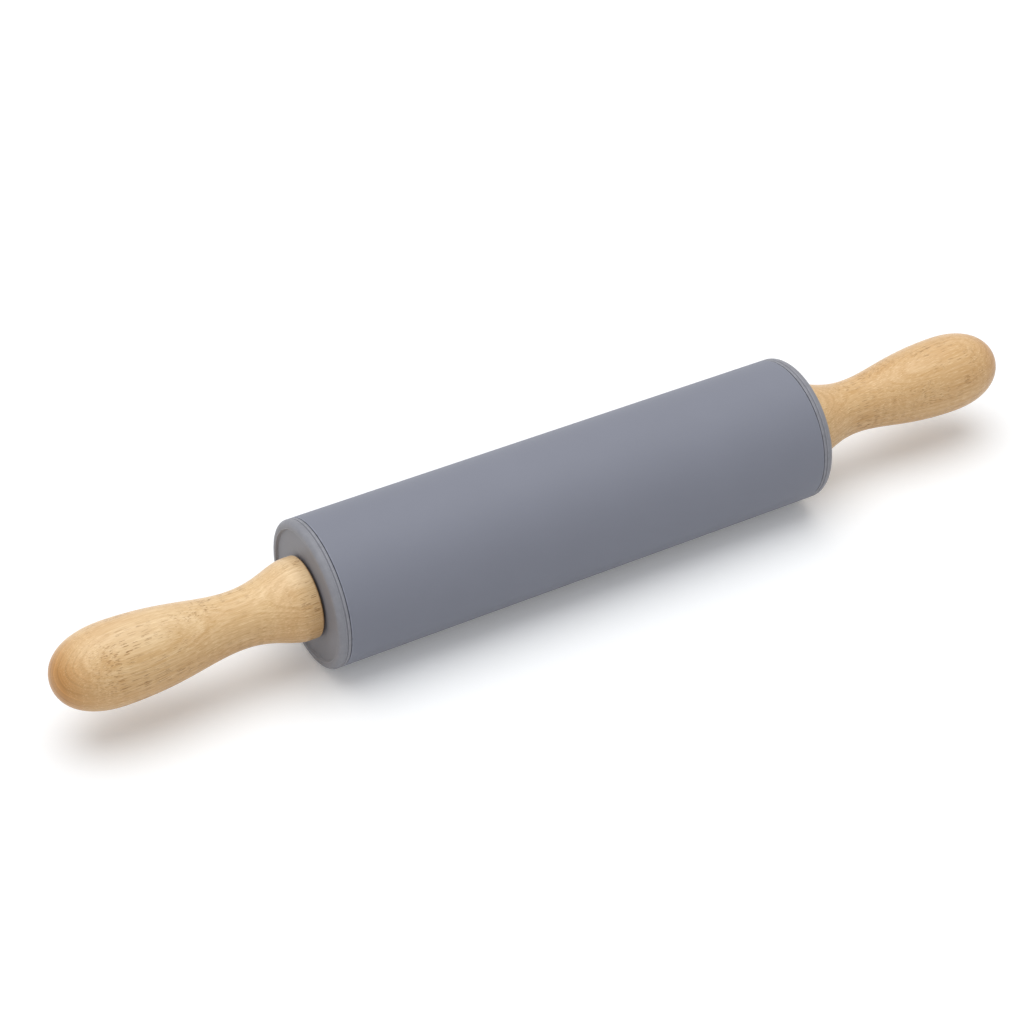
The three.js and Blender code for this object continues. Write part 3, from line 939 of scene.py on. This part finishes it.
def handle_profile(sizes, axle):
    """A handle from the drilled hole's point, out over the collar and along the side to the tip.

    The side is three cubic curves: from the collar in to the neck, from the neck out to the bulb, and from
    the bulb round to the tip. At the collar, neck and bulb they run along the axle, so they join smoothly.
    """
    bore = axle.spigot_radius + axle.thread_gap + axle.insert_wall + axle.barb_height + sizes.socket_gap
    bore_end = INSERT_END + sizes.drill_allowance
    flange_bore = INSERT_FLANGE_RADIUS + sizes.socket_gap
    flange_floor = HANDLE_FACE + axle.insert_flange + sizes.socket_gap
    collar = (COLLAR_RADIUS, HANDLE_FACE + sizes.collar_length)
    neck = (sizes.neck_radius, HANDLE_FACE + sizes.neck_position)
    bulb = (sizes.bulb_radius, HANDLE_FACE + sizes.bulb_position)
    socket = outline([
        (0, bore_end + bore / math.tan(sizes.drill_half_angle), 0),
        (bore, bore_end, axle.edge_break),
        (bore, flange_floor, axle.edge_break),
        (flange_bore, flange_floor, 0),
        (flange_bore, HANDLE_FACE, axle.edge_break),
        (COLLAR_RADIUS, HANDLE_FACE, sizes.collar_edge),
        (*collar, 0),
    ], closed=False)
    dome = (sizes.bulb_radius, bulb[1] + sizes.dome_ease * (HANDLE_TIP - bulb[1]))
    cheek = (sizes.tip_ease * sizes.bulb_radius, HANDLE_TIP)
    return np.vstack([
        socket,
        eased(collar, neck, sizes.collar_ease, sizes.neck_ease, sizes.curve_steps),
        eased(neck, bulb, sizes.swell_ease, sizes.bulb_ease, sizes.curve_steps),
        bezier(bulb, dome, cheek, (0, HANDLE_TIP), sizes.curve_steps),
    ])


# Operators

class ROLLINGPIN_OT_sleeve(bpy.types.Operator):
    """Make the silicone sleeve of the barrel"""
    bl_idname = "rolling_pin.sleeve"
    bl_label = "Silicone Sleeve"

    def execute(self, context):
        pin = context.scene.rolling_pin
        mesh = turned("sleeve", sleeve_profile(pin.barrel), pin.barrel.segments)
        place(mesh, "silicone_sleeve", "roller", "silicone")
        return {"FINISHED"}


class ROLLINGPIN_OT_core_tube(bpy.types.Operator):
    """Make the plastic tube inside the sleeve"""
    bl_idname = "rolling_pin.core_tube"
    bl_label = "Core Tube"

    def execute(self, context):
        pin = context.scene.rolling_pin
        mesh = turned("tube", tube_profile(pin.barrel), pin.barrel.segments)
        place(mesh, "core_tube", "roller", "tube_plastic")
        return {"FINISHED"}


class ROLLINGPIN_OT_end_caps(bpy.types.Operator):
    """Make the two moulded caps of the barrel"""
    bl_idname = "rolling_pin.end_caps"
    bl_label = "End Caps"

    def execute(self, context):
        pin = context.scene.rolling_pin
        for end, side in SIDES.items():
            mesh = cap_mesh(f"cap_{end}", pin.barrel, pin.axle, side)
            place(mesh, f"end_cap_{end}", "roller", "cap_plastic")
        return {"FINISHED"}


class ROLLINGPIN_OT_bushes(bpy.types.Operator):
    """Make the two flanged bushes that the axle turns in"""
    bl_idname = "rolling_pin.bushes"
    bl_label = "Bushes"

    def execute(self, context):
        pin = context.scene.rolling_pin
        for end, side in SIDES.items():
            mesh = turned(f"bush_{end}", bush_profile(pin.axle), pin.axle.segments, side=side)
            place(mesh, f"bushing_{end}", "roller", "nylon")
        return {"FINISHED"}


class ROLLINGPIN_OT_axle(bpy.types.Operator):
    """Make the steel axle with its two threaded ends"""
    bl_idname = "rolling_pin.axle"
    bl_label = "Axle"

    def execute(self, context):
        pin = context.scene.rolling_pin
        thread = thread_relief(pin.axle, HANDLE_FACE, AXLE_END - pin.axle.chamfer)
        mesh = turned("axle", axle_profile(pin.axle), pin.axle.segments, ring=False, relief=thread)
        place(mesh, "axle_rod", "handle_set", "steel")
        return {"FINISHED"}


class ROLLINGPIN_OT_washers(bpy.types.Operator):
    """Make the two thin washers between the caps and the handles"""
    bl_idname = "rolling_pin.washers"
    bl_label = "Thrust Washers"

    def execute(self, context):
        pin = context.scene.rolling_pin
        for end, side in SIDES.items():
            mesh = turned(f"washer_{end}", washer_profile(pin.axle), pin.axle.segments, side=side)
            place(mesh, f"thrust_washer_{end}", "handle_set", "nylon")
        return {"FINISHED"}


class ROLLINGPIN_OT_inserts(bpy.types.Operator):
    """Make the two threaded inserts of the handles"""
    bl_idname = "rolling_pin.inserts"
    bl_label = "Threaded Inserts"

    def execute(self, context):
        pin = context.scene.rolling_pin
        profile = insert_profile(pin.axle)
        thread = thread_relief(pin.axle, HANDLE_FACE, AXLE_END - pin.axle.chamfer)
        in_bore = profile[:, :1] < pin.axle.spigot_radius + pin.axle.thread_gap + HAIR
        for end, side in SIDES.items():
            mesh = turned(
                f"insert_{end}", profile, pin.axle.segments, side=side,
                relief=lambda along, turn: np.where(in_bore, thread(along, turn), 0))
            place(mesh, f"threaded_insert_{end}", "handle_set", "brass")
        return {"FINISHED"}


class ROLLINGPIN_OT_handles(bpy.types.Operator):
    """Make the two turned handles"""
    bl_idname = "rolling_pin.handles"
    bl_label = "Handles"

    def execute(self, context):
        pin = context.scene.rolling_pin
        profile = handle_profile(pin.handle, pin.axle)
        for end, side in SIDES.items():
            mesh = turned(f"grip_{end}", profile, pin.handle.segments, ring=False, side=side)
            place(mesh, f"handle_{end}", "handle_set", "wood")
        return {"FINISHED"}


def direction(azimuth, elevation):
    """Unit vector towards a place at an azimuth and elevation, where azimuth 0 is on the -Y side."""
    level = math.cos(elevation)
    return Vector((math.sin(azimuth) * level, -math.cos(azimuth) * level, math.sin(elevation)))


def empty_tree(owner):
    """The node tree of a material or a world, with nothing in it."""
    owner.use_nodes = True
    owner.node_tree.nodes.clear()
    return owner.node_tree


def seen_directly(tree):
    """1 for a ray from the camera, a mirror or a glass, and 0 for light on its way to a matt surface."""
    path = add_node(tree, "ShaderNodeLightPath").outputs
    seen = calculate(tree, "MAXIMUM", path["Is Camera Ray"], path["Is Glossy Ray"])
    return calculate(tree, "MAXIMUM", seen, path["Is Transmission Ray"])


def end_tree(tree, output, lighting, shown):
    """Ends a tree with one shader for the light that it gives, and one for what is seen directly."""
    chosen = add_node(tree, "ShaderNodeMixShader", {
        0: seen_directly(tree), 1: lighting.outputs[0], 2: shown.outputs[0]})
    add_node(tree, output, {"Surface": chosen.outputs[0]})


def floor_finish(stage):
    """A white floor that keeps shadows, and sends back less light than it shows."""
    material = bpy.data.materials.new("White Floor")
    tree = empty_tree(material)
    shown = add_node(tree, "ShaderNodeBsdfDiffuse", {"Color": (*stage.floor_white, 1)})
    glow = add_node(tree, "ShaderNodeEmission", {"Color": (1, 1, 1, 1), "Strength": stage.floor_lift})
    lifted = add_node(tree, "ShaderNodeAddShader", {0: shown.outputs[0], 1: glow.outputs[0]})
    bounced = add_node(tree, "ShaderNodeBsdfDiffuse", {"Color": (*[stage.floor_bounce] * 3, 1)})
    end_tree(tree, "ShaderNodeOutputMaterial", bounced, lifted)
    return material


def studio_world(stage):
    """Even light from all round, behind a white that only the camera, mirrors and glass see."""
    world = bpy.data.worlds.new("Studio")
    tree = empty_tree(world)
    sky = add_node(tree, "ShaderNodeBackground", {"Color": (1, 1, 1, 1), "Strength": stage.sky_strength})
    white = add_node(tree, "ShaderNodeBackground", {"Color": (1, 1, 1, 1), "Strength": 1.0})
    end_tree(tree, "ShaderNodeOutputWorld", sky, white)
    return world


class ROLLINGPIN_OT_stage(bpy.types.Operator):
    """Make the floor, the light and the camera"""
    bl_idname = "rolling_pin.stage"
    bl_label = "Stage"

    def execute(self, context):
        scene, stage = context.scene, context.scene.rolling_pin.stage
        half = stage.floor_width / 2
        corners = [(-half, -half, 0), (half, -half, 0), (half, half, 0), (-half, half, 0)]
        mesh = bpy.data.meshes.new("floor")
        mesh.from_pydata(corners, [], [(0, 1, 2, 3)])
        mesh.materials.append(floor_finish(stage))
        floor = bpy.data.objects.new("floor", mesh)
        scene.collection.objects.link(floor)

        scene.world = studio_world(stage)
        for name in ("key", "fill"):
            lamp = bpy.data.lights.new(f"{name}_light", "SUN")
            lamp.energy, lamp.angle = getattr(stage, f"{name}_strength"), getattr(stage, f"{name}_spread")
            light = bpy.data.objects.new(lamp.name, lamp)
            towards = direction(getattr(stage, f"{name}_azimuth"), getattr(stage, f"{name}_elevation"))
            light.rotation_euler = towards.to_track_quat("Z", "Y").to_euler()
            scene.collection.objects.link(light)

        lens = bpy.data.cameras.new("camera")
        lens.lens, lens.sensor_width = stage.lens, SENSOR_WIDTH
        camera = bpy.data.objects.new("camera", lens)
        back = direction(stage.azimuth, stage.elevation)
        camera.location = Vector(stage.target) + back * stage.distance
        camera.rotation_euler = back.to_track_quat("Z", "Y").to_euler()
        scene.collection.objects.link(camera)
        scene.camera = camera
        scene.view_settings.view_transform = "Standard"
        return {"FINISHED"}


OPERATORS = (
    ROLLINGPIN_OT_sleeve,
    ROLLINGPIN_OT_core_tube,
    ROLLINGPIN_OT_end_caps,
    ROLLINGPIN_OT_bushes,
    ROLLINGPIN_OT_axle,
    ROLLINGPIN_OT_washers,
    ROLLINGPIN_OT_inserts,
    ROLLINGPIN_OT_handles,
    ROLLINGPIN_OT_stage,
)


class ROLLINGPIN_PT_sidebar(bpy.types.Panel):
    """Steps and sizes of the rolling pin"""
    bl_idname = "ROLLINGPIN_PT_sidebar"
    bl_label = "Rolling Pin"
    bl_space_type = "VIEW_3D"
    bl_region_type = "UI"
    bl_category = "Rolling Pin"

    def draw(self, context):
        layout = self.layout
        for operator in OPERATORS:
            layout.operator(operator.bl_idname)
        pin = context.scene.rolling_pin
        for group in (pin.barrel, pin.axle, pin.handle, pin.colours, pin.stage):
            box = layout.box()
            for name in group.__annotations__:
                box.prop(group, name)


CLASSES = (
    BarrelSizes, AxleSizes, HandleSizes, FinishColours, StageSettings, RollingPinSettings,
    *OPERATORS, ROLLINGPIN_PT_sidebar,
)


def register():
    """Make the classes and the scene's settings known."""
    for cls in CLASSES:
        bpy.utils.register_class(cls)
    bpy.types.Scene.rolling_pin = PointerProperty(type=RollingPinSettings)


def unregister():
    """Take the settings and the classes away again."""
    del bpy.types.Scene.rolling_pin
    for cls in reversed(CLASSES):
        bpy.utils.unregister_class(cls)


def main():
    """Build every piece and the stage in order."""
    register()
    for operator in OPERATORS:
        group, name = operator.bl_idname.split(".")
        getattr(getattr(bpy.ops, group), name)()


if __name__ == "__main__":
    main()
